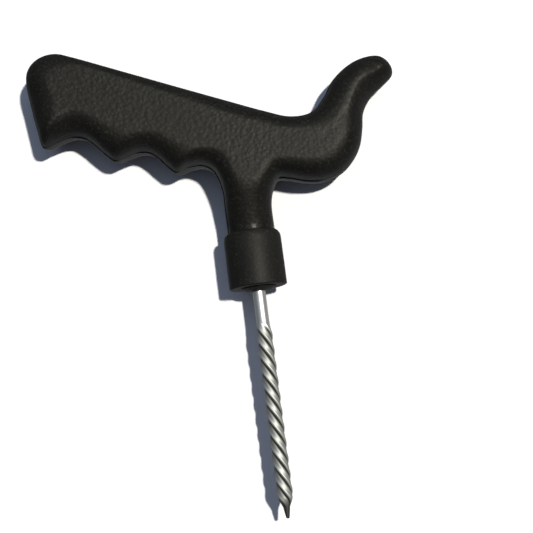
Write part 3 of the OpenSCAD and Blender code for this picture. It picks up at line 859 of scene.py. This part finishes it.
# %% Helpers for geometry trees
def new_tree(name, inputs):
    """An empty geometry tree with named inputs, and its input sockets."""
    tree = bpy.data.node_groups.new(name, "GeometryNodeTree")
    tree.interface.new_socket("Geometry", in_out="INPUT", socket_type="NodeSocketGeometry")
    for label, kind in inputs:
        tree.interface.new_socket(label, in_out="INPUT", socket_type=kind)
    tree.interface.new_socket("Geometry", in_out="OUTPUT", socket_type="NodeSocketGeometry")
    return tree, add(tree, "NodeGroupInput").outputs


def grown_piece(name, tree, values, seed_points, material):
    """Run a geometry tree on a few seed points and keep its result as a plain mesh."""
    seed = bpy.data.meshes.new(name + "_seed")
    seed.from_pydata(seed_points, [], [])
    piece = bpy.data.objects.new(name, seed)
    scene.collection.objects.link(piece)
    grow = piece.modifiers.new("grow", "NODES")
    grow.node_group = tree
    for item in tree.interface.items_tree:
        if item.item_type == "SOCKET" and item.in_out == "INPUT" and item.name in values:
            grow[item.identifier] = values[item.name]
    evaluated = piece.evaluated_get(bpy.context.evaluated_depsgraph_get())
    mesh = bpy.data.meshes.new_from_object(evaluated)
    piece.modifiers.remove(grow)
    piece.data = mesh
    bpy.data.meshes.remove(seed)
    mesh.name = name
    finish_mesh(mesh, material)
    return piece


# %% Inputs of the rasp's tree, and its sums
RASP_VALUES = ("Tang End", "Shank Radius", "Spiral Start", "Spiral Length", "Run-out",
               "Spiral Radius", "Groove Depth", "Lead", "Turn", "Shoulder Length", "Nib Length",
               "Nib Radius", "Tip Radius", "Ridges")
rasp, rasp_in = new_tree(
    "spiral_rasp", [(label, "NodeSocketFloat") for label in RASP_VALUES]
    + [("Sides", "NodeSocketInt"), ("Rings", "NodeSocketInt"), ("Steel", "NodeSocketMaterial")])


def sum_of(operation, a, b=0.0, c=0.0):
    """One scalar sum in the rasp's tree."""
    return maths(rasp, operation, a, b, c)


def straight(value, start, stop, low=0.0, high=1.0):
    """A value that goes evenly from low to high between two limits."""
    return ramp(rasp, value, start, stop, low, high)


def eased(value, start, stop, low=0.0, high=1.0):
    """A value that goes smoothly from low to high between two limits."""
    return ramp(rasp, value, start, stop, low, high, interpolation_type="SMOOTHSTEP")


print("rasp sockets:", len(rasp.interface.items_tree))

# %% The flat grid: round the rod and down the rod
PLAIN_SHARE = 0.06

sheet = add(rasp, "GeometryNodeMeshGrid", {
    "Size X": 1.0, "Size Y": 1.0, "Vertices X": rasp_in["Sides"], "Vertices Y": rasp_in["Rings"]})
sheet_place = add(rasp, "GeometryNodeInputPosition").outputs[0]
spot = add(rasp, "ShaderNodeSeparateXYZ", {0: sheet_place}).outputs
turn_angle = sum_of("MULTIPLY", sum_of("ADD", spot["X"], 0.5), 2 * math.pi)
share = sum_of("ADD", spot["Y"], 0.5)
nib_at = sum_of("ADD", rasp_in["Spiral Length"], rasp_in["Shoulder Length"])
rasp_len = sum_of("ADD", nib_at, rasp_in["Nib Length"])
plain_y = straight(share, 0.0, PLAIN_SHARE, rasp_in["Tang End"], rasp_in["Spiral Start"])
down = straight(share, PLAIN_SHARE, 1.0, 0.0, rasp_len)
rod_y = sum_of("SUBTRACT", plain_y, down)
print("rasp tree:", len(rasp.nodes), "nodes for the grid")

# %% The radius: shank, leaning ridges, shoulder, nib and rounded ends
RIDGE_LEAN, RIDGE_POWER = 0.45, 1.2

past_shank = eased(down, 0.0, rasp_in["Run-out"])
to_nib = eased(down, rasp_in["Spiral Length"], nib_at)
to_tip = straight(down, nib_at, rasp_len)
body_r = eased(down, 0.0, rasp_in["Run-out"], rasp_in["Shank Radius"], rasp_in["Spiral Radius"])
shoulder_gap = sum_of("SUBTRACT", rasp_in["Nib Radius"], rasp_in["Spiral Radius"])
nib_gap = sum_of("SUBTRACT", rasp_in["Tip Radius"], rasp_in["Nib Radius"])
shoulder_r = sum_of("MULTIPLY_ADD", to_nib, shoulder_gap, body_r)
crest = sum_of("MULTIPLY_ADD", to_tip, nib_gap, shoulder_r)

turns = sum_of("DIVIDE", down, rasp_in["Lead"])
swing = sum_of("MULTIPLY_ADD", turns, -2 * math.pi, sum_of("ADD", turn_angle, rasp_in["Turn"]))
half_phase = sum_of("MULTIPLY", sum_of("MULTIPLY", swing, rasp_in["Ridges"]), 0.5)
lean = sum_of("COSINE", sum_of("MULTIPLY", half_phase, 2.0))
leaning = sum_of("MULTIPLY_ADD", lean, RIDGE_LEAN, half_phase)
lobe = sum_of("POWER", sum_of("ABSOLUTE", sum_of("COSINE", leaning)), RIDGE_POWER)
spiral_share = sum_of("SUBTRACT", past_shank, to_nib)
groove_level = sum_of("MULTIPLY", spiral_share, sum_of("SUBTRACT", 1.0, lobe))
rod_r = sum_of("SUBTRACT", crest, sum_of("MULTIPLY", rasp_in["Groove Depth"], groove_level))

tip_left = sum_of("SUBTRACT", rasp_len, down)
tip_fall = sum_of("POWER", straight(tip_left, 0.0, rasp_in["Tip Radius"], 1.0, 0.0), 2.0)
tip_round = sum_of("SQRT", sum_of("SUBTRACT", 1.0, tip_fall))
tang_left = sum_of("SUBTRACT", rasp_in["Tang End"], rod_y)
tang_round = straight(tang_left, 0.0, rasp_in["Shank Radius"])
radius = sum_of("MULTIPLY", sum_of("MULTIPLY", rod_r, tip_round), tang_round)
print("rasp tree:", len(rasp.nodes), "nodes with the radius")

# %% Wrap the grid, with its values for the finish and the painted shade
# Painted shade: the nib is moved towards the dark groove colour and the groove roughness, as if
# turned from the light.
NIB_DULL_AND_SHADE = 0.77
SHEET_WELD = 1e-6

# The ridge value also carries painted shade: it is low in the grooves and on the nib.
ridge_level = sum_of("MULTIPLY_ADD", to_nib, -NIB_DULL_AND_SHADE, sum_of("SUBTRACT", 1.0, groove_level))
marked = sheet.outputs["Mesh"]
for label, level in (("ridge", ridge_level), ("rasp", past_shank)):
    marked = add(rasp, "GeometryNodeStoreNamedAttribute",
                 {"Geometry": marked, "Name": label, "Value": level},
                 data_type="FLOAT", domain="POINT").outputs[0]
rod_place = add(rasp, "ShaderNodeCombineXYZ", {
    "X": sum_of("MULTIPLY", radius, sum_of("SINE", turn_angle)), "Y": rod_y,
    "Z": sum_of("MULTIPLY", radius, sum_of("COSINE", turn_angle))}).outputs[0]
wrapped = add(rasp, "GeometryNodeSetPosition", {"Geometry": marked, "Position": rod_place})
welded = add(rasp, "GeometryNodeMergeByDistance",
             {"Geometry": wrapped.outputs[0], "Distance": SHEET_WELD})
realized = add(rasp, "GeometryNodeRealizeInstances", {"Geometry": welded.outputs[0]})
coated = add(rasp, "GeometryNodeSetMaterial",
             {"Geometry": realized.outputs[0], "Material": rasp_in["Steel"]})
add(rasp, "NodeGroupOutput", {"Geometry": coated.outputs[0]})
print("rasp tree:", len(rasp.nodes), "nodes in all")

# %% Grow the probe
probe_sizes = {
    "Tang End": tang_end, "Shank Radius": SHANK_R, "Spiral Start": -11.6, "Spiral Length": 61,
    "Run-out": 5, "Spiral Radius": 2.8, "Groove Depth": 0.75, "Lead": 21.3,
    "Shoulder Length": 4.07, "Nib Length": 3.33, "Nib Radius": 1.1, "Tip Radius": 0.55}
probe = grown_piece("steel_probe", rasp, {
    **{label: size * MM for label, size in probe_sizes.items()}, "Turn": math.radians(-6.1),
    "Ridges": 4.0, "Sides": 145, "Rings": 420, "Steel": probe_steel}, [(0, 0, 0)], probe_steel)
print("probe:", len(probe.data.polygons), "faces, lowest point",
      round(min(v.co.y for v in probe.data.vertices) / MM, 2), "mm")

# %% [markdown]
# ## The screws
# Three identical screws close the grip from behind. One screw is made from
# simple solids in a geometry tree, a cross recess is cut in its head, and the
# tree sets a copy on each of the three points that it is given.

# %% One screw as nodes
HEAD_SIDES, SHANK_SIDES = 48, 32
HEAD_TOP = 0.63
SCREW_LENGTHS = ("Head Radius", "Head Height", "Seat", "Shank Radius", "Core Radius", "Length",
                 "Slot Width", "Slot Length")
screw_tree, screw_in = new_tree(
    "shell_screw", [(label, "NodeSocketFloat") for label in SCREW_LENGTHS]
    + [("Steel", "NodeSocketMaterial")])


def shifted(mesh, z):
    """A solid of the screw, moved along the screw's axis."""
    lift = add(screw_tree, "ShaderNodeCombineXYZ", {"Z": z}).outputs[0]
    moved = add(screw_tree, "GeometryNodeTransform", {"Geometry": mesh, "Translation": lift})
    return moved.outputs[0]


def pillar(radius, depth, place):
    """A cylinder whose middle lies at a share of its own length from the seam."""
    mesh = add(screw_tree, "GeometryNodeMeshCylinder",
               {"Vertices": SHANK_SIDES, "Radius": radius, "Depth": depth}).outputs["Mesh"]
    return shifted(mesh, maths(screw_tree, "MULTIPLY", depth, place))


head_out = maths(screw_tree, "ADD", screw_in["Seat"], screw_in["Head Height"])
head_z = maths(screw_tree, "MULTIPLY", head_out, -1.0)
dome = add(screw_tree, "GeometryNodeMeshCone",
           {"Vertices": HEAD_SIDES, "Radius Top": screw_in["Head Radius"],
            "Radius Bottom": maths(screw_tree, "MULTIPLY", screw_in["Head Radius"], HEAD_TOP),
            "Depth": screw_in["Head Height"]}).outputs["Mesh"]
shank = pillar(screw_in["Shank Radius"], screw_in["Seat"], -0.5)
core_len = maths(screw_tree, "SUBTRACT", screw_in["Length"], screw_in["Seat"])
core = pillar(screw_in["Core Radius"], core_len, 0.5)
recess = add(screw_tree, "GeometryNodeMeshBoolean", {"Mesh 1": shifted(dome, head_z)},
             operation="DIFFERENCE")
for x, y in (("Slot Width", "Slot Length"), ("Slot Length", "Slot Width")):
    slot_size = add(screw_tree, "ShaderNodeCombineXYZ",
                    {"X": screw_in[x], "Y": screw_in[y], "Z": screw_in["Head Height"]}).outputs[0]
    bar = add(screw_tree, "GeometryNodeMeshCube", {"Size": slot_size}).outputs["Mesh"]
    screw_tree.links.new(shifted(bar, head_z), recess.inputs["Mesh 2"])
solid = add(screw_tree, "GeometryNodeMeshBoolean", operation="UNION")
for part in (recess.outputs["Mesh"], shank, core):
    screw_tree.links.new(part, solid.inputs["Mesh 2"])
print("screw tree:", len(screw_tree.nodes), "nodes for one screw")

# %% A copy on each of three points
copies = add(screw_tree, "GeometryNodeInstanceOnPoints",
             {"Points": screw_in["Geometry"], "Instance": solid.outputs["Mesh"]})
made_real = add(screw_tree, "GeometryNodeRealizeInstances", {"Geometry": copies.outputs[0]})
plated = add(screw_tree, "GeometryNodeSetMaterial",
             {"Geometry": made_real.outputs[0], "Material": screw_in["Steel"]})
add(screw_tree, "NodeGroupOutput", {"Geometry": plated.outputs[0]})

screw_sizes = {
    "Head Radius": 2.7, "Head Height": 2, "Seat": SEAT_DEPTH, "Shank Radius": 1.5,
    "Core Radius": 1.2, "Length": 14, "Slot Width": 0.8, "Slot Length": 3}
screws = grown_piece("grip_screws", screw_tree, {
    **{label: size * MM for label, size in screw_sizes.items()}, "Steel": fixing_steel},
    [(x * MM, y * MM, 0) for x, y in screw_places], fixing_steel)
print("screws:", len(screws.data.polygons), "faces")

# %% [markdown]
# ## Hand over to the frame
# Nothing on this tool moves, so every piece rides on the one root body. The
# cross pin is a plain turned pin inside the grip, so its CAD solid stays and
# only gets the steel finish.

# %% Ride, replace and finish
pieces = [
    (front, "front_half", "grip_plastic"), (back, "back_half", "grip_plastic"),
    (collar, "collar", "collar_plastic"), (probe, "probe", "tool_steel"),
    (screws, "shell_screws", "fixing_steel"),
]
for piece, node, slot in pieces:
    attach(piece, "root")
    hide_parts(node)
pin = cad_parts["cross_pin"]
pin.data.materials.clear()
pin.data.materials.append(fixing_steel)
